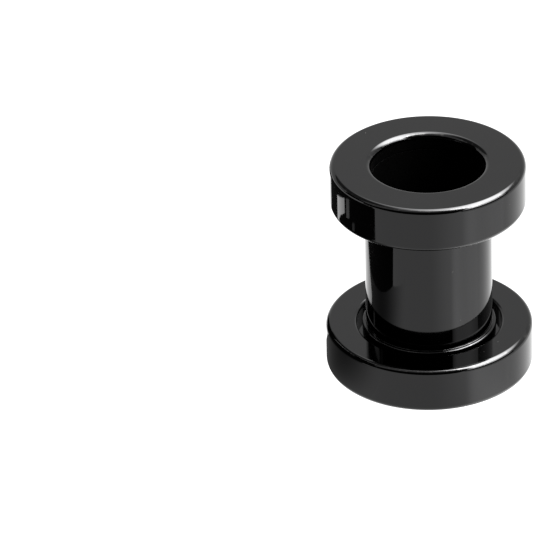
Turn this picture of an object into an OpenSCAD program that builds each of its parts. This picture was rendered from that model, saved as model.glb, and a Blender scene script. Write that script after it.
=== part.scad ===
// Screw-fit ear tunnel: a barrel that stands on its back flange, and a front flange that screws onto it.
// Lengths are in millimetres. Z is the axis of the tunnel, and the back flange stands on Z = 0.

/* [Barrel] */
// Outside diameter of the barrel, which is the size that the lobe is stretched to
barrel_d = 8; // [6:0.1:25]
// Thickness of the wall between the outside of the barrel and its bore
barrel_wall = 0.45; // [0.45:0.05:1.5]
// Clear length between the two flanges, where the lobe sits
wear_length = 8.35; // [5:0.05:16]

/* [Back flange] */
// How far the back flange stands out from the barrel
back_lip = 2.525; // [2:0.025:5]
// Thickness of the back flange
back_thick = 3; // [1.5:0.05:5]

/* [Foot of the barrel] */
// Width of the ledge of the back flange between the barrel and the groove round it
ledge_width = 0.22; // [0.22:0.01:0.4]
// Width of the groove round the ledge
groove_width = 0.35; // [0.25:0.05:0.6]
// Depth of the groove
groove_depth = 0.8; // [0.3:0.05:1.2]
// Radius of the rounded outer edge of the groove
groove_round = 0.2; // [0.05:0.05:0.25]
// Radius of the rounded edge of the ledge
ledge_round = 0.1; // [0.05:0.01:0.1]
// Radius of the hollow curve that leads from the ledge up into the barrel
cove_round = 0.1; // [0.05:0.01:0.1]

/* [Front flange] */
// How far the front flange stands out from the barrel
front_lip = 2.15; // [1:0.025:5]
// Thickness of the front flange
front_thick = 3; // [2.4:0.05:5]
// Thickness of the front flange where it covers the end of the barrel
cover_thick = 1; // [0.7:0.05:1.2]

/* [Screw joint] */
// How much the threaded neck is narrower than the barrel, on the radius
neck_step = 0.1; // [0.05:0.01:0.15]
// Plain length of the neck below its thread
relief_length = 0.6; // [0.55:0.05:0.8]
// Distance from one crest of the thread to the next
thread_pitch = 0.35; // [0.3:0.05:0.6]
// Depth of the thread's grooves, on the neck and in the socket
thread_depth = 0.12; // [0.05:0.01:0.15]
// Plain length at the mouth of the socket, before its first groove
socket_land = 0.2; // [0.1:0.05:0.5]

/* [Clearances] */
// Radial clearance between the crests of the neck and of the socket
thread_clearance = 0.03; // [0.02:0.01:0.05]
// Gap between the shoulder of the barrel and the front flange that seats on it
seat_gap = 0.05; // [0.02:0.01:0.1]
// Gap between the end of the neck and the floor of the socket
end_gap = 0.1; // [0.05:0.05:0.3]

/* [Edges] */
// Radius of the rounded upper rims of both flanges
upper_rim_round = 0.325; // [0.1:0.025:0.5]
// Radius of the rounded lower rims of both flanges
lower_rim_round = 0.45; // [0.1:0.05:0.5]
// Radius of the rounded mouths of the bore, front and back
mouth_round = 0.35; // [0.1:0.05:0.5]
// Width of the bevel on the end of the neck
end_bevel = 0.1; // [0.05:0.01:0.12]

/* [Hidden] */

$fn = 128;

// Width of the flat crest between two grooves of the thread, as a share of the pitch
crest_share = 0.25;
// Slope of the thread's flanks, in degrees from square to the axis
flank_angle = 30;
// Cutting shapes run this far past the faces that they cut
overcut = 0.05;

black_steel = [0.10, 0.10, 0.105];
black_steel_front = [0.13, 0.13, 0.135];

// Radii of the barrel and of its flanges
barrel_r = barrel_d / 2;
bore_r = barrel_r - barrel_wall;
back_r = barrel_r + back_lip;
front_r = barrel_r + front_lip;
cove_r = barrel_r + cove_round;
ledge_r = barrel_r + ledge_width;
groove_r = ledge_r + groove_width;

// Radii of the screw joint
neck_r = barrel_r - neck_step;
neck_root_r = neck_r - thread_depth;
socket_r = neck_r + thread_clearance;
socket_root_r = socket_r + thread_depth;

// Heights above the surface that the back flange stands on
cove_z = back_thick + cove_round;
groove_z = back_thick - groove_depth;
front_z = back_thick + wear_length;
top_z = front_z + front_thick;
shoulder_z = front_z - seat_gap;
relief_z = shoulder_z + relief_length;
cover_z = top_z - cover_thick;
neck_z = cover_z - end_gap;

// A rectangle in the section, whose corners are a radius and a height
module block(low, high) {
    translate(low) square(high - low);
}

// What is cut away to round a corner of the section. Inward points from the corner into the metal
module round_waste(corner, inward, radius) {
    centre = corner + radius * inward;
    outside = corner - overcut * inward;
    difference() {
        block(
            [min(outside.x, centre.x), min(outside.y, centre.y)],
            [max(outside.x, centre.x), max(outside.y, centre.y)]
        );
        translate(centre) circle(radius);
    }
}

// What is cut away to bevel a corner of the section at 45 degrees
module bevel_waste(corner, inward) {
    along = end_bevel + overcut;
    polygon([
        corner + [along * inward.x, -overcut * inward.y],
        corner + [-overcut * inward.x, along * inward.y],
        corner - along * inward
    ]);
}

// The grooves of a thread in the section, from low to high, between its crests and its roots
module thread_waste(crest_r, root_r, low, high) {
    out = (root_r > crest_r) ? 1 : -1;
    mouth = (1 - crest_share) * thread_pitch;
    flank = thread_depth * tan(flank_angle);
    past = overcut * tan(flank_angle);
    grooves = floor((high - low + crest_share * thread_pitch) / thread_pitch);
    for (index = [0 : 1 : grooves - 1]) {
        z = low + index * thread_pitch;
        polygon([
            [crest_r - out * overcut, z - past],
            [root_r, z + flank],
            [root_r, z + mouth - flank],
            [crest_r - out * overcut, z + mouth + past]
        ]);
    }
}

// Section of the metal that fills the corner at the foot of the barrel, up to the hollow curve
module cove_section() {
    difference() {
        block([barrel_r - overcut, back_thick - overcut], [cove_r, cove_z]);
        translate([cove_r, cove_z]) circle(cove_round);
    }
}

// Section of the groove round the foot of the barrel, with its rounded edges
module groove_waste() {
    block([ledge_r, groove_z], [groove_r, back_thick + overcut]);
    round_waste([groove_r, back_thick], [1, -1], groove_round);
    round_waste([ledge_r, back_thick], [-1, -1], ledge_round);
}

// Section of what the end of the barrel loses to its thread, its relief and its bevel
module neck_waste() {
    block([neck_root_r, shoulder_z], [barrel_r, relief_z]);
    thread_waste(neck_r, neck_root_r, relief_z + crest_share * thread_pitch, neck_z - end_bevel);
    bevel_waste([neck_r, neck_z], [-1, -1]);
}

// Section of the blind threaded socket in the front flange
module socket_waste() {
    block([0, front_z - overcut], [socket_r, cover_z]);
    thread_waste(socket_r, socket_root_r, front_z + socket_land, cover_z);
}

module barrel() {
    color(black_steel) rotate_extrude() difference() {
        union() {
            block([bore_r, 0], [back_r, back_thick]);
            block([bore_r, 0], [barrel_r, shoulder_z]);
            block([bore_r, 0], [neck_r, neck_z]);
            cove_section();
        }
        round_waste([back_r, back_thick], [-1, -1], upper_rim_round);
        round_waste([back_r, 0], [-1, 1], lower_rim_round);
        round_waste([bore_r, 0], [1, 1], mouth_round);
        groove_waste();
        neck_waste();
    }
}

module front_flange() {
    color(black_steel_front) rotate_extrude() difference() {
        block([bore_r, front_z], [front_r, top_z]);
        round_waste([front_r, top_z], [-1, -1], upper_rim_round);
        round_waste([front_r, front_z], [-1, 1], lower_rim_round);
        round_waste([bore_r, top_z], [1, -1], mouth_round);
        socket_waste();
    }
}

barrel();
front_flange();
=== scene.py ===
import math

import bpy
from bpy.props import FloatProperty, FloatVectorProperty, IntProperty, PointerProperty
from mathutils import Matrix, Vector


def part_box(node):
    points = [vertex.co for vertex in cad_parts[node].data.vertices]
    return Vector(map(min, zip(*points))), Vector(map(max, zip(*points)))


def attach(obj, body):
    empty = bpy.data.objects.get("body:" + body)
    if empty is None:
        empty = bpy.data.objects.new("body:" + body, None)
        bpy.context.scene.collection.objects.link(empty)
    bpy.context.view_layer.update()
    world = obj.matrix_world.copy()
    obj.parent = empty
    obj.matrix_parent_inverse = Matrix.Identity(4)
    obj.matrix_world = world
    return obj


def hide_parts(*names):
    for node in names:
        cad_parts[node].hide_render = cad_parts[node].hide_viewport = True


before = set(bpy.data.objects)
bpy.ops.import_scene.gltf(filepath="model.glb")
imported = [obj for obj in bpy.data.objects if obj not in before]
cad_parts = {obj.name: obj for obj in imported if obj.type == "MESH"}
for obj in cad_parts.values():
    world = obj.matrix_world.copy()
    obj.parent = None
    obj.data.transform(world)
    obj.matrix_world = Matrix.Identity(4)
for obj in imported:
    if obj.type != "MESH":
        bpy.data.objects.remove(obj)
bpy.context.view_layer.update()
barrel_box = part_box("barrel")
flange_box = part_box("front_flange")

bl_info = {
    "name": "Ear tunnel",
    "version": (1, 0, 0),
    "blender": (4, 5, 0),
    "location": "View3D > Sidebar > Tunnel",
    "description": "Builds a screw-fit ear tunnel in gloss black steel, and a pale studio round it",
    "category": "Object",
}


def length(name, description, default):
    """A size in metres that the user can change."""
    return FloatProperty(name=name, description=description, default=default, min=0.0, unit="LENGTH",
                         subtype="DISTANCE", precision=5)


def share(name, description, default):
    """A value between nothing and one."""
    return FloatProperty(name=name, description=description, default=default, min=0.0, max=1.0,
                         subtype="FACTOR")


def level(name, description, default):
    """A brightness or a strength, with no upper limit."""
    return FloatProperty(name=name, description=description, default=default, min=0.0)


def angle(name, description, degrees):
    """An angle, given here in degrees."""
    return FloatProperty(name=name, description=description, default=math.radians(degrees), subtype="ANGLE")


def colour(name, description, default):
    """A colour in linear light."""
    return FloatVectorProperty(name=name, description=description, default=default, min=0.0, max=1.0,
                               size=3, subtype="COLOR")


class TunnelSizes(bpy.types.PropertyGroup):
    """Sizes of the two turned pieces."""
    barrel_radius: length("Barrel radius", "Outside radius of the barrel", 0.004)
    bore_radius: length("Bore radius", "Radius of the way through the tunnel", 0.00355)
    back_radius: length("Back flange radius", "Outside radius of the back flange", barrel_box[1].x)
    back_thickness: length("Back flange thickness", "Thickness of the back flange", 0.003)
    ledge_width: length("Ledge width", "Width of the ledge between barrel and groove", 0.00022)
    groove_width: length("Groove width", "Width of the groove round the ledge", 0.00035)
    groove_depth: length("Groove depth", "Depth of the groove round the ledge", 0.0008)
    groove_rim: length("Groove rim radius", "Radius of the rounded outer edge of the groove", 0.0002)
    ledge_rim: length("Ledge rim radius", "Radius of the rounded edge of the ledge", 0.0001)
    cove_radius: length("Cove radius", "Radius of the hollow curve at the foot of the barrel", 0.00003)
    neck_height: length("Neck height", "Height of the end of the threaded neck", barrel_box[1].z)
    neck_step: length("Neck step", "How much the neck is narrower than the barrel, on the radius", 0.0001)
    relief_length: length("Relief length", "Plain length of the neck below its thread", 0.0006)
    front_radius: length("Front flange radius", "Outside radius of the front flange", flange_box[1].x)
    front_height: length("Front flange height", "Height of its underside above the floor", flange_box[0].z)
    whole_length: length("Whole length", "Height of the front face above the floor", flange_box[1].z)
    cover_thickness: length("Cover thickness", "Thickness over the end of the barrel", 0.001)
    seat_gap: length("Seat gap", "Gap between the shoulder of the barrel and the front flange", 0.00005)
    socket_clearance: length("Socket clearance", "Gap between the crests of neck and socket", 0.00003)
    socket_land: length("Socket land", "Plain length at the mouth of the socket", 0.0002)
    thread_pitch: length("Thread pitch", "Distance from one crest of the thread to the next", 0.00035)
    thread_depth: length("Thread depth", "Depth of the grooves of the thread", 0.00012)
    upper_rim: length("Upper rim radius", "Radius of the rounded upper rims", 0.000325)
    lower_rim: length("Lower rim radius", "Radius of the rounded lower rims", 0.00045)
    mouth_rim: length("Bore mouth radius", "Radius of the rounded mouths of the bore", 0.00035)
    end_bevel: length("End bevel", "Width of the bevel on the end of the neck", 0.0001)
    columns: IntProperty(name="Columns", description="Faces round each turned piece", default=256,
                         min=16, max=1024)


class TunnelFinish(bpy.types.PropertyGroup):
    """Colours and polish of the black coating and of the bore."""
    coating: colour("Coating", "Colour of the black coating", (0.0260, 0.0260, 0.0263))
    steel: colour("Bare steel", "Colour of the steel where the coating has worn thin", (0.33, 0.32, 0.31))
    bore: colour("Bore", "Colour of the unpolished wall of the bore", (0.004, 0.0039, 0.0038))
    dust: colour("Dust", "Colour of the specks of dust", (0.20, 0.19, 0.18))
    polish: share("Polish roughness", "Roughness of the polished coating", 0.045)
    haze: share("Haze", "Extra roughness where the polish is hazy", 0.05)
    bore_roughness: share("Bore roughness", "Roughness of the wall of the bore", 0.34)
    thread_roughness: share("Thread roughness", "Roughness of the cut thread", 0.22)
    turning_marks: share("Turning marks", "Strength of the fine rings left by the lathe", 0.03)
    wear: share("Edge wear", "How much of the coating is rubbed thin on the rims", 0.12)


class TunnelStage(bpy.types.PropertyGroup):
    """Floor, light and camera."""
    elevation: angle("Camera elevation", "Angle of the camera above the floor", 30.5)
    distance: length("Camera distance", "Distance from the camera to the middle of the tunnel", 0.48)
    lens: FloatProperty(name="Lens", description="Focal length of the camera in millimetres",
                        default=490.6, min=1.0)
    look_left: angle("Look left", "How far to the left of the tunnel the camera is aimed", 1.1154)
    look_down: angle("Look down", "How far below the middle of the tunnel the camera is aimed", 0.1396)
    roll: angle("Roll", "How far the camera leans to the right", 0.6)
    floor_light: level("Floor light", "Brightness of the lit floor", 1.36)
    sky_light: level("Sky light", "Brightness of the pale room round the stage", 0.97)
    top_light: level("Top light", "Brightness of the soft light overhead", 36.0)
    side_light: level("Side light", "Brightness of the soft light on the right", 15.0)
    top_height: length("Top light height", "Height of the soft light overhead", 0.30)
    side_height: length("Side light foot", "Height of the lower edge of the light on the right", 0.155)
    floor_reach: length("Floor reach", "How far the floor reaches on each side", 0.55)
    left_reach: FloatProperty(name="Left cards", description="Place across of the small cards on the left",
                              default=-0.0113, unit="LENGTH", subtype="DISTANCE", precision=5)


class Amount:
    """A number that varies over a surface, kept as a socket so that plain sums can be written with it."""

    def __init__(self, paint, socket):
        self.paint = paint
        self.socket = socket

    def sum(self, operation, *values):
        return self.paint.reckon(operation, *values)

    def __add__(self, other):
        return self.sum("ADD", self, other)

    def __radd__(self, other):
        return self.sum("ADD", other, self)

    def __sub__(self, other):
        return self.sum("SUBTRACT", self, other)

    def __rsub__(self, other):
        return self.sum("SUBTRACT", other, self)

    def __mul__(self, other):
        return self.sum("MULTIPLY", self, other)

    def __rmul__(self, other):
        return self.sum("MULTIPLY", other, self)

    def __truediv__(self, other):
        return self.sum("DIVIDE", self, other)

    def __rtruediv__(self, other):
        return self.sum("DIVIDE", other, self)

    def __pow__(self, other):
        return self.sum("POWER", self, other)


class Paint:
    """A material under construction, with the few kinds of node that the finishes are made from."""

    def __init__(self, name):
        self.material = bpy.data.materials.new(name)
        self.material.use_nodes = True
        self.tree = self.material.node_tree
        self.tree.nodes.clear()

    def node(self, kind, settings=None, values=None):
        made = self.tree.nodes.new(kind)
        for key, value in (settings or {}).items():
            setattr(made, key, value)
        for key, value in (values or {}).items():
            self.feed(made.inputs[key], value)
        return made

    def feed(self, socket, value):
        if isinstance(value, Amount):
            value = value.socket
        if isinstance(value, bpy.types.NodeSocket):
            self.tree.links.new(value, socket)
        else:
            socket.default_value = value

    def reckon(self, operation, *values):
        made = self.node("ShaderNodeMath", {"operation": operation}, dict(enumerate(values)))
        return Amount(self, made.outputs[0])

    def place(self, output="Object"):
        return self.node("ShaderNodeTexCoord").outputs[output]

    def split(self, vector):
        made = self.node("ShaderNodeSeparateXYZ", values={"Vector": vector})
        return [Amount(self, socket) for socket in made.outputs]

    def joined(self, x, y, z):
        return self.node("ShaderNodeCombineXYZ", values={"X": x, "Y": y, "Z": z}).outputs[0]

    def noise(self, vector, scale, detail=2.0, roughness=0.5):
        made = self.node("ShaderNodeTexNoise", values={
            "Vector": vector, "Scale": scale, "Detail": detail, "Roughness": roughness})
        return Amount(self, made.outputs[0])

    def spots(self, vector, scale):
        made = self.node("ShaderNodeTexVoronoi", values={"Vector": vector, "Scale": scale})
        return Amount(self, made.outputs["Distance"])

    def ramp(self, value, low, high):
        made = self.node("ShaderNodeMapRange", {"interpolation_type": "SMOOTHSTEP"},
                         {"Value": value, "From Min": low, "From Max": high})
        return Amount(self, made.outputs[0])

    def blend(self, factor, first, second):
        made = self.node("ShaderNodeMix", {"data_type": "RGBA"})
        self.feed(made.inputs[0], factor)
        for socket, value in ((made.inputs[6], first), (made.inputs[7], second)):
            self.feed(socket, (*value, 1.0) if isinstance(value, tuple) else value)
        return made.outputs[2]

    def bump(self, height, strength, distance):
        made = self.node("ShaderNodeBump", values={
            "Height": height, "Strength": strength, "Distance": distance})
        return made.outputs[0]

    def metal(self, base, roughness, normal):
        made = self.node("ShaderNodeBsdfPrincipled", values={
            "Base Color": base, "Roughness": roughness, "Metallic": 1.0, "Normal": normal})
        self.finish(made.outputs[0])

    def finish(self, shader):
        self.node("ShaderNodeOutputMaterial", values={"Surface": shader})


# How closely the marks lie, in marks to the metre: on the polish, in the bore and on the thread
RING_SCALE = 9000.0
HAIR_SCALE = 34000.0
CLOUD_SCALE = 420.0
RUB_SCALE = 2600.0
SPECK_SCALE = 950.0
SAND_SCALE = 9000.0
GRAIN_SCALE = 6500.0
REAM_SCALE = 12000.0
DRAG_SCALE = 30000.0
CHATTER_SCALE = 2500.0

# Depths of the marks of the lathe and of the grains of the bore's wall, in metres
MARK_DEPTH = 0.00001
GRAIN_DEPTH = 0.00002


def polished_coating(finish):
    """Mirror-polished black coating with fine turning rings, hazy patches, rubbed rims and some dust."""
    paint = Paint("polished black coating")
    place = paint.place()
    x, y, z = paint.split(place)
    radius = (x * x + y * y) ** 0.5
    turn = paint.reckon("ARCTAN2", y, x)
    upright = paint.split(paint.place("Normal"))[2]
    corner = paint.ramp(4.0 * upright * upright * (1.0 - upright * upright), 0.35, 0.95)

    rings = paint.noise(paint.joined(radius * RING_SCALE, turn * 1.5, z * RING_SCALE), 1.0, 3.0, 0.6)
    hair = paint.noise(paint.joined(x * RUB_SCALE, y * HAIR_SCALE, z * RUB_SCALE), 1.0, 2.0, 0.7)
    hairlines = paint.ramp(hair, 0.66, 0.78)
    clouds = paint.noise(place, CLOUD_SCALE, 4.0, 0.6)
    haze = paint.ramp(clouds, 0.42, 0.75)
    rub = paint.ramp(paint.noise(place, RUB_SCALE, 5.0, 0.65), 0.50, 0.72) * corner
    specks = 1.0 - paint.ramp(paint.spots(place, SPECK_SCALE), 0.018, 0.034)

    worn = paint.blend(rub * finish.wear, tuple(finish.coating), tuple(finish.steel))
    base = paint.blend(specks * 0.35, worn, tuple(finish.dust))
    roughness = finish.polish + haze * finish.haze + hairlines * 0.05 + rub * 0.10 + specks * 0.30
    height = rings * 0.5 + hairlines * 0.35 - specks * 0.8
    paint.metal(base, roughness, paint.bump(height, finish.turning_marks, MARK_DEPTH))
    return paint.material


def sandy_bore(finish):
    """Unpolished wall of the bore: a sandy, speckled skin over the marks of the reamer."""
    paint = Paint("sandy bore wall")
    place = paint.place()
    x, y, z = paint.split(place)
    turn = paint.reckon("ARCTAN2", y, x)
    sand = paint.noise(place, SAND_SCALE, 5.0, 0.7)
    grains = 1.0 - paint.ramp(paint.spots(place, GRAIN_SCALE), 0.12, 0.42)
    reamed = paint.noise(paint.joined(turn * 2.0, z * REAM_SCALE, 0.0), 1.0, 3.0, 0.6)
    tone = paint.ramp(sand, 0.35, 0.75)
    bright = tuple(channel * 2.6 for channel in finish.bore)
    base = paint.blend(tone * grains, tuple(finish.bore), bright)
    roughness = finish.bore_roughness + sand * 0.18 - grains * 0.12
    height = sand * 0.6 + grains * 0.3 + reamed * 0.35
    paint.metal(base, roughness, paint.bump(height, 0.45, GRAIN_DEPTH))
    return paint.material


def cut_thread(finish):
    """Black coating on the cut thread and the hidden seats, with the drag marks of the thread tool."""
    paint = Paint("cut black thread")
    place = paint.place()
    x, y, z = paint.split(place)
    turn = paint.reckon("ARCTAN2", y, x)
    radius = (x * x + y * y) ** 0.5
    drag = paint.noise(paint.joined(turn * 6.0, z * DRAG_SCALE, radius * DRAG_SCALE), 1.0, 4.0, 0.65)
    chatter = paint.noise(paint.joined(turn * 160.0, z * CHATTER_SCALE, 0.0), 1.0, 2.0, 0.5)
    upright = paint.split(paint.place("Normal"))[2]
    crest = paint.ramp(1.0 - upright * upright, 0.75, 1.0) * paint.ramp(chatter, 0.45, 0.75)
    base = paint.blend(crest * finish.wear, tuple(finish.coating), tuple(finish.steel))
    roughness = finish.thread_roughness + drag * 0.15 + chatter * 0.05
    height = drag * 0.7 + chatter * 0.4
    paint.metal(base, roughness, paint.bump(height, 0.25, MARK_DEPTH))
    return paint.material


def zone_materials(finish):
    """The three finishes, in the order that the zones of a turned piece count them."""
    return [polished_coating(finish), sandy_bore(finish), cut_thread(finish)]


# Zones of a turned piece, each with its own finish
POLISHED, BORE, THREAD = range(3)

# Steps that a rounded edge is made of, where it shows and where it stands in the shade
SHOWN_STEPS = 24
SHADED_STEPS = 12
SMALL_STEPS = 16

# Shape of the thread: the flat crest as a share of the pitch, and the slope of the flanks in degrees
CREST_SHARE = 0.25
FLANK_ANGLE = 30.0


class Turning:
    """The skin of a turned piece. A pen walks round its section, with the metal on the left."""

    def __init__(self, columns, start):
        self.columns = columns
        self.pen = start
        self.numbers = {}
        self.faces = []
        self.normals = []
        self.zones = []

    def corner(self, turn, radius, height):
        key = (turn % 1.0, snap(radius), snap(height))
        return self.numbers.setdefault(key, len(self.numbers))

    def band(self, section_at, zone):
        for column in range(self.columns):
            near, far = column / self.columns, (column + 1) / self.columns
            for (start, end), (start_far, end_far) in zip(section_at(near), section_at(far)):
                self.face([(near, start), (far, start_far), (far, end_far), (near, end)], zone)

    def face(self, ends, zone):
        known = next((normal for _, (_, normal) in ends if normal), (0.0, 0.0))
        numbers, normals = [], []
        for turn, (point, normal) in ends:
            number = self.corner(turn, *point)
            if number in numbers:
                continue
            out, up = normal or known
            around = 2.0 * math.pi * turn
            numbers.append(number)
            normals.append((out * math.cos(around), out * math.sin(around), up))
        if len(numbers) > 2:
            self.faces.append(numbers)
            self.normals.extend(normals)
            self.zones.append(zone)

    def line(self, end, zone=POLISHED):
        """Walk straight to a point of the section, which is a radius and a height."""
        start = self.pen
        normal = outward(start, end)
        self.band(lambda turn: [((start, normal), (end, normal))], zone)
        self.pen = end

    def curve(self, radius, first, last, steps):
        """Walk round part of a circle, between two angles seen from its centre. It is hollow if they fall."""
        side = 1.0 if last > first else -1.0
        begin = math.radians(first)
        centre = (self.pen[0] - radius * math.cos(begin), self.pen[1] - radius * math.sin(begin))
        ends = []
        for step in range(steps + 1):
            slope = math.radians(first + (last - first) * step / steps)
            out, up = math.cos(slope), math.sin(slope)
            ends.append(((centre[0] + radius * out, centre[1] + radius * up), (side * out, side * up)))
        self.band(lambda turn: list(zip(ends, ends[1:])), POLISHED)
        self.pen = ends[-1][0]

    def thread(self, section_at, end):
        """Walk along a helical thread, whose section changes with the turn, to the point where it ends."""
        self.band(section_at, THREAD)
        self.pen = end

    def mesh(self, name):
        made = bpy.data.meshes.new(name)
        points = []
        for turn, radius, height in self.numbers:
            around = 2.0 * math.pi * turn
            points.append((radius * math.cos(around), radius * math.sin(around), height))
        made.from_pydata(points, [], self.faces)
        made.polygons.foreach_set("use_smooth", [True] * len(self.faces))
        made.polygons.foreach_set("material_index", self.zones)
        made.normals_split_custom_set(self.normals)
        return made


def snap(value):
    """Round to a tenth of a nanometre, so that neighbouring bands share their corners."""
    return round(value, 10)


def outward(start, end):
    """Direction out of the metal for a line of the section, or nothing for a line with no length."""
    across, up = end[0] - start[0], end[1] - start[1]
    size = math.hypot(across, up)
    return (up / size, -across / size) if size > 1e-9 else None


def thread_section(sizes, crest, root, low, high, foot, downward=False):
    """Section of a helical thread at any turn. It swells out of the plain radius at its foot."""
    pitch = sizes.thread_pitch
    flank = sizes.thread_depth * math.tan(math.radians(FLANK_ANGLE))
    mouth = (1.0 - CREST_SHARE) * pitch
    groove = ((0.0, crest), (flank, root), (mouth - flank, root), (mouth, crest))
    turns = int((high - low) / pitch) + 3
    run_out = 0.5 * pitch

    def faded(height, radius):
        rise = min(1.0, (height - low) / run_out)
        fall = min(1.0, (high - height) / run_out)
        return crest + (foot + (radius - foot) * rise - crest) * fall

    def section_at(turn):
        points = [(foot, low)]
        for index in range(-1, turns):
            for offset, radius in groove:
                height = min(high, max(low, low + pitch * (index + turn) + offset))
                points.append((faded(height, radius), height))
        points.append((crest, high))
        if downward:
            points.reverse()
        lines = []
        for start, end in zip(points, points[1:]):
            normal = outward(start, end)
            lines.append(((start, normal), (end, normal)))
        return lines

    return section_at


def turned_barrel(sizes):
    """Skin of the barrel with its back flange, the ledge and groove at its foot, and its threaded neck."""
    upper, lower, mouth, bevel = sizes.upper_rim, sizes.lower_rim, sizes.mouth_rim, sizes.end_bevel

    bore = sizes.bore_radius
    barrel = sizes.barrel_radius
    back = sizes.back_radius
    cove = barrel + sizes.cove_radius
    ledge = barrel + sizes.ledge_width
    groove = ledge + sizes.groove_width
    neck = barrel - sizes.neck_step
    root = neck - sizes.thread_depth

    face = sizes.back_thickness
    bed = face - sizes.groove_depth
    shoulder = sizes.front_height - sizes.seat_gap
    relief = shoulder + sizes.relief_length
    end = sizes.neck_height
    brim = end - bevel

    skin = Turning(sizes.columns, (bore + mouth, 0.0))
    skin.line((back - lower, 0.0))
    skin.curve(lower, -90.0, 0.0, SHADED_STEPS)
    skin.line((back, face - upper))
    skin.curve(upper, 0.0, 90.0, SHOWN_STEPS)
    skin.line((groove + sizes.groove_rim, face))
    skin.curve(sizes.groove_rim, 90.0, 180.0, SMALL_STEPS)
    skin.line((groove, bed))
    skin.line((ledge, bed))
    skin.line((ledge, face - sizes.ledge_rim))
    skin.curve(sizes.ledge_rim, 0.0, 90.0, SMALL_STEPS)
    skin.line((cove, face))
    skin.curve(sizes.cove_radius, 270.0, 180.0, SMALL_STEPS)
    skin.line((barrel, shoulder))
    skin.line((root, shoulder), THREAD)
    skin.line((root, relief), THREAD)
    thread = thread_section(sizes, neck, root, relief, brim, foot=root)
    skin.thread(thread, (neck, brim))
    skin.line((neck - bevel, end), THREAD)
    skin.line((bore, end), THREAD)
    skin.line((bore, mouth), BORE)
    skin.curve(mouth, 180.0, 270.0, SMALL_STEPS)
    return skin.mesh("turned barrel")


def turned_front_flange(sizes):
    """Skin of the front flange, with the rounded mouth of the bore and the blind threaded socket."""
    upper, lower, mouth = sizes.upper_rim, sizes.lower_rim, sizes.mouth_rim

    bore = sizes.bore_radius
    front = sizes.front_radius
    socket = sizes.barrel_radius - sizes.neck_step + sizes.socket_clearance
    root = socket + sizes.thread_depth

    low = sizes.front_height
    land = low + sizes.socket_land
    top = sizes.whole_length
    cover = top - sizes.cover_thickness

    skin = Turning(sizes.columns, (socket, low))
    skin.line((front - lower, low))
    skin.curve(lower, -90.0, 0.0, SHADED_STEPS)
    skin.line((front, top - upper))
    skin.curve(upper, 0.0, 90.0, SHOWN_STEPS)
    skin.line((bore + mouth, top))
    skin.curve(mouth, 90.0, 180.0, SHOWN_STEPS)
    skin.line((bore, cover), BORE)
    skin.line((socket, cover), THREAD)
    thread = thread_section(sizes, socket, root, land, cover, foot=socket, downward=True)
    skin.thread(thread, (socket, land))
    skin.line((socket, low), THREAD)
    return skin.mesh("turned front flange")


def shown(name, mesh, materials):
    """Put a mesh in the scene with its finishes."""
    made = bpy.data.objects.new(name, mesh)
    for material in materials:
        mesh.materials.append(material)
    bpy.context.scene.collection.objects.link(made)
    return made


def turned_piece(name, mesh, node, finish):
    """Put a turned piece in place of its node, on the body of the same name."""
    made = shown(name, mesh, zone_materials(finish))
    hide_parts(node)
    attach(made, node)
    return made


class TUNNEL_OT_barrel(bpy.types.Operator):
    """Turn the barrel with its back flange and its threaded neck"""
    bl_idname = "tunnel.barrel"
    bl_label = "Barrel"

    def execute(self, context):
        scene = context.scene
        turned_piece("black_barrel", turned_barrel(scene.tunnel_sizes), "barrel", scene.tunnel_finish)
        return {"FINISHED"}


class TUNNEL_OT_front_flange(bpy.types.Operator):
    """Turn the front flange that screws onto the barrel"""
    bl_idname = "tunnel.front_flange"
    bl_label = "Front flange"

    def execute(self, context):
        scene = context.scene
        turned_piece("black_front_flange", turned_front_flange(scene.tunnel_sizes), "front_flange",
                     scene.tunnel_finish)
        return {"FINISHED"}


def card(name, corners, material, glossy_only=True):
    """A flat card from its corners. The lights and flags show in the polish and nowhere else."""
    mesh = bpy.data.meshes.new(name)
    mesh.from_pydata(corners, [], [range(len(corners))])
    made = shown(name, mesh, [material])
    if glossy_only:
        made.visible_camera = False
        made.visible_diffuse = False
        made.visible_shadow = False
        made.visible_transmission = False
        made.visible_volume_scatter = False
    return made


def level_card(plan, height):
    """Corners of a level card, from the corners of its plan."""
    return [(x, y, height) for x, y in plan]


def upright_card(near, far, low, high):
    """Corners of an upright card between two places on the floor and two heights."""
    return [(*near, low), (*far, low), (*far, high), (*near, high)]


def left_card(across, outline):
    """Corners of an upright card on the left, from how far back and how high each of them is."""
    return [(across, y, z) for y, z in outline]


def lit_floor(stage, clear_radius):
    """Pale floor that glows a little more ahead on the right, a painted pool of light, and not under the
    tunnel, which is dark: painted shade.
    """
    paint = Paint("pale floor")
    place = paint.place()
    x, y, _ = paint.split(place)
    away = (x * x + y * y) ** 0.5
    # painted shade: no glow under the tunnel, rising to the full glow just inside the rim of the back flange
    lit = paint.ramp(away, 0.82 * clear_radius, 0.97 * clear_radius)
    grain = paint.noise(place, 300.0, 4.0, 0.6)
    # painted pool of light: the glow is brighter by up to nearly a half ahead on the right
    rightward = paint.ramp(x / away, 0.0, 0.62) * (1.0 - paint.ramp(x / away, 0.60, 0.90))
    forward = paint.ramp(-1.0 * y / away, 0.2, 0.5)
    brightness = lit * (1.0 + rightward * forward * 0.48)
    made = paint.node("ShaderNodeBsdfPrincipled", values={
        "Base Color": (0.04, 0.04, 0.04, 1.0), "Roughness": 0.16 + grain * 0.05,
        "Emission Color": brightness, "Emission Strength": stage.floor_light})
    paint.finish(made.outputs[0])
    return paint.material


def glow(name, strength, shade=None, dimmest=0.0):
    """Emission for a light or a flag. A shade brings it down to the dimmest share of its strength."""
    paint = Paint(name)
    light = paint.node("ShaderNodeEmission", values={"Strength": strength}).outputs[0]
    if shade:
        dim = paint.node("ShaderNodeEmission", values={"Strength": strength * dimmest}).outputs[0]
        light = paint.node("ShaderNodeMixShader", values={0: shade(paint), 1: dim, 2: light}).outputs[0]
    paint.finish(light)
    return paint.material


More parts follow.
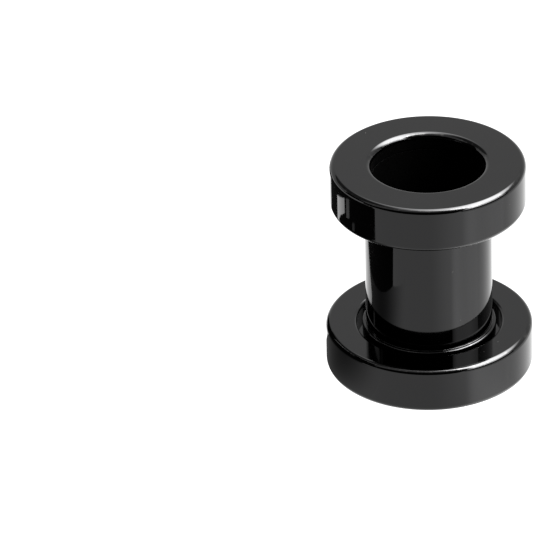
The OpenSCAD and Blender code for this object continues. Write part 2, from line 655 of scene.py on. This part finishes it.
def overhead_shade(paint):
    """Share of the overhead light: full on the right, and falling away to the left and to the back."""
    x, y, _ = paint.split(paint.place())
    across = paint.ramp(x, -0.16, 0.12) ** 2.0
    behind = 1.0 - paint.ramp(y + x * 0.6, 0.21, 0.45) * 0.97
    return across * behind


def side_shade(paint):
    """Share of the light on the right: soft at its front end and dimmer towards the back."""
    _, y, _ = paint.split(paint.place())
    front = paint.ramp(y, -0.339, -0.22)
    behind = 1.0 - paint.ramp(y, -0.10, 0.069) * 0.55
    return front * behind


def left_shade(paint):
    """Share of the floor's light in the shade on the left: least straight to the left of the tunnel."""
    x, y, _ = paint.split(paint.place())
    before = paint.reckon("MINIMUM", y, 0.0)
    leftward = -1.0 * x / (x * x + before * before) ** 0.5
    return 1.0 - paint.ramp(leftward, 0.62, 1.02)


def floor_cards(sizes, stage):
    """The pale floor that the tunnel stands on."""
    reach = stage.floor_reach
    plan = [(-reach, -reach), (reach, -reach), (reach, reach), (-reach, reach)]
    return [card("floor", level_card(plan, 0.0), lit_floor(stage, sizes.back_radius), glossy_only=False)]


def light_cards(stage):
    """The soft light overhead, and the one that stands on the right above its dark flag."""
    foot, split, top = 0.004, stage.side_height, stage.top_height
    plan = [(-0.50, 0.0), (0.0, -0.02), (0.08, -0.06), (0.46, -0.34), (0.46, 0.43), (-0.50, 0.43)]
    near, far = (0.2515, -0.339), (0.4165, 0.069)
    overhead = glow("overhead light", stage.top_light, overhead_shade, 0.006)
    side = glow("side light", stage.side_light, side_shade, 0.02)
    return [
        card("soft_light_overhead", level_card(plan, top), overhead),
        card("soft_light_on_the_right", upright_card(near, far, split, top), side),
        # painted shade: a dim card below the light on the right, seen only in the polish
        card("low_flag_on_the_right", upright_card(near, far, foot, split), glow("low right flag", 0.1)),
    ]


def flag_cards(stage):
    """Large dark flags in front and far on the left, seen only in the polish: painted shade that keeps the
    reflections there black.
    """
    foot, top = 0.01, stage.top_height
    leaning = [(-0.55, -0.45, foot), (0.25, -0.45, foot), (0.25, -0.21, top), (-0.55, -0.21, top)]
    far_left = upright_card((-0.50, -0.45), (-0.50, 0.15), foot, top)
    # painted shade: dark cards that stand for the unlit parts of the room, seen only in the polish
    dark = glow("dark flag", 0.02)
    return [
        card("flag_in_front", leaning, dark),
        card("flag_far_on_the_left", far_left, dark),
    ]


def shade_cards(stage):
    """The shade close by on the left: a dim patch of floor, a dim strip above it and two dark flags."""
    across, just_above = stage.left_reach, 0.00002
    patch = [(across, -0.0143), (-0.0040, -0.0051), (-0.0040, 0.0015), (across, 0.0041)]
    strip = [(-0.0125, 0.0), (0.0041, 0.0), (0.0066, 0.0016), (-0.0069, 0.0016)]
    low = [(-0.0069, 0.0016), (0.0066, 0.0016), (0.0120, 0.0045), (0.0120, 0.0053), (-0.0073, 0.0053)]
    high = [(-0.0089, 0.0053), (0.0120, 0.0030), (0.0120, 0.0130), (-0.0089, 0.0130)]
    dim = glow("shaded floor", stage.floor_light, left_shade, 0.07)
    dark = glow("dark flag on the left", 0.02)
    return [
        card("shaded_floor_on_the_left", level_card(patch, just_above), dim),
        card("shaded_strip_on_the_left", left_card(across, strip), dim),
        card("low_flag_on_the_left", left_card(across, low), dark),
        card("high_flag_on_the_left", left_card(across, high), dark),
    ]


def streak_cards(stage):
    """Glowing streaks and a glowing rim just in front of the dark flags on the left, seen only in the polish:
    painted highlights.
    """
    nearer = stage.left_reach + 0.0001
    bent = [(0.0028, 0.0066), (0.0028, 0.0091), (-0.0004, 0.0099), (-0.0004, 0.0088), (0.0012, 0.0082),
            (0.0019, 0.0077), (0.0021, 0.0066)]
    middle = [(-0.0010, 0.0086), (-0.0010, 0.0100), (-0.0019, 0.0101), (-0.0019, 0.0087)]
    small = [(-0.0027, 0.0077), (-0.0027, 0.0085), (-0.0033, 0.0085), (-0.0033, 0.0077)]
    rim = [(-0.0065, 0.0138), (0.0012, 0.0131), (0.0012, 0.0140), (-0.0065, 0.0158)]
    # painted highlights: glowing cards that are no lamps, seen only as bright streaks and a bright rim in the
    # polish
    return [
        card("bent_streak_on_the_left", left_card(nearer, bent), glow("bent streak", 2.4)),
        card("middle_streak_on_the_left", left_card(nearer, middle), glow("middle streak", 0.7)),
        card("small_streak_on_the_left", left_card(nearer, small), glow("small streak", 0.4)),
        card("rim_highlight_on_the_left", left_card(nearer, rim), glow("glowing rim highlight", 2.2)),
    ]


# Width of the camera's film in millimetres
FILM_WIDTH = 36.0


class TUNNEL_OT_stage(bpy.types.Operator):
    """Lay the pale floor, hang the soft lights and place the camera"""
    bl_idname = "tunnel.stage"
    bl_label = "Stage"

    def execute(self, context):
        scene = context.scene
        sizes, stage = scene.tunnel_sizes, scene.tunnel_stage
        cards = floor_cards(sizes, stage) + light_cards(stage) + flag_cards(stage)
        cards += shade_cards(stage) + streak_cards(stage)
        self.light_room(scene, stage)
        self.place_camera(scene, sizes, stage)
        scene.view_settings.view_transform = "Standard"
        return {"FINISHED"}

    def light_room(self, scene, stage):
        world = bpy.data.worlds.new("pale room")
        world.use_nodes = True
        background = world.node_tree.nodes["Background"]
        background.inputs["Color"].default_value = (1.0, 1.0, 1.0, 1.0)
        background.inputs["Strength"].default_value = stage.sky_light
        scene.world = world

    def place_camera(self, scene, sizes, stage):
        middle = Vector((0.0, 0.0, 0.5 * sizes.whole_length))
        sight = Vector((0.0, -math.cos(stage.elevation), math.sin(stage.elevation)))
        facing = sight.to_track_quat("Z", "Y").to_matrix()
        leaned = Matrix.Rotation(-stage.roll, 3, "Z")
        aimed = Matrix.Rotation(stage.look_left, 3, "Y") @ Matrix.Rotation(-stage.look_down, 3, "X")
        data = bpy.data.cameras.new("camera")
        data.lens = stage.lens
        data.sensor_width = FILM_WIDTH
        made = bpy.data.objects.new("camera", data)
        turned = (facing @ leaned @ aimed).to_4x4()
        made.matrix_world = Matrix.Translation(middle + stage.distance * sight) @ turned
        scene.collection.objects.link(made)
        scene.camera = made


class TUNNEL_PT_panel(bpy.types.Panel):
    """Buttons and settings for the ear tunnel"""
    bl_idname = "TUNNEL_PT_panel"
    bl_label = "Ear tunnel"
    bl_space_type = "VIEW_3D"
    bl_region_type = "UI"
    bl_category = "Tunnel"

    def draw(self, context):
        for step in STEPS:
            self.layout.operator(step.bl_idname)
        for group in (context.scene.tunnel_sizes, context.scene.tunnel_finish, context.scene.tunnel_stage):
            box = self.layout.box()
            for name in group.__annotations__:
                box.prop(group, name)


STEPS = (TUNNEL_OT_barrel, TUNNEL_OT_front_flange, TUNNEL_OT_stage)
CLASSES = (TunnelSizes, TunnelFinish, TunnelStage, *STEPS, TUNNEL_PT_panel)


def register():
    for made in CLASSES:
        bpy.utils.register_class(made)
    bpy.types.Scene.tunnel_sizes = PointerProperty(type=TunnelSizes)
    bpy.types.Scene.tunnel_finish = PointerProperty(type=TunnelFinish)
    bpy.types.Scene.tunnel_stage = PointerProperty(type=TunnelStage)


def unregister():
    del bpy.types.Scene.tunnel_stage
    del bpy.types.Scene.tunnel_finish
    del bpy.types.Scene.tunnel_sizes
    for made in reversed(CLASSES):
        bpy.utils.unregister_class(made)


def main():
    register()
    bpy.ops.tunnel.barrel()
    bpy.ops.tunnel.front_flange()
    bpy.ops.tunnel.stage()


if __name__ == "__main__":
    main()
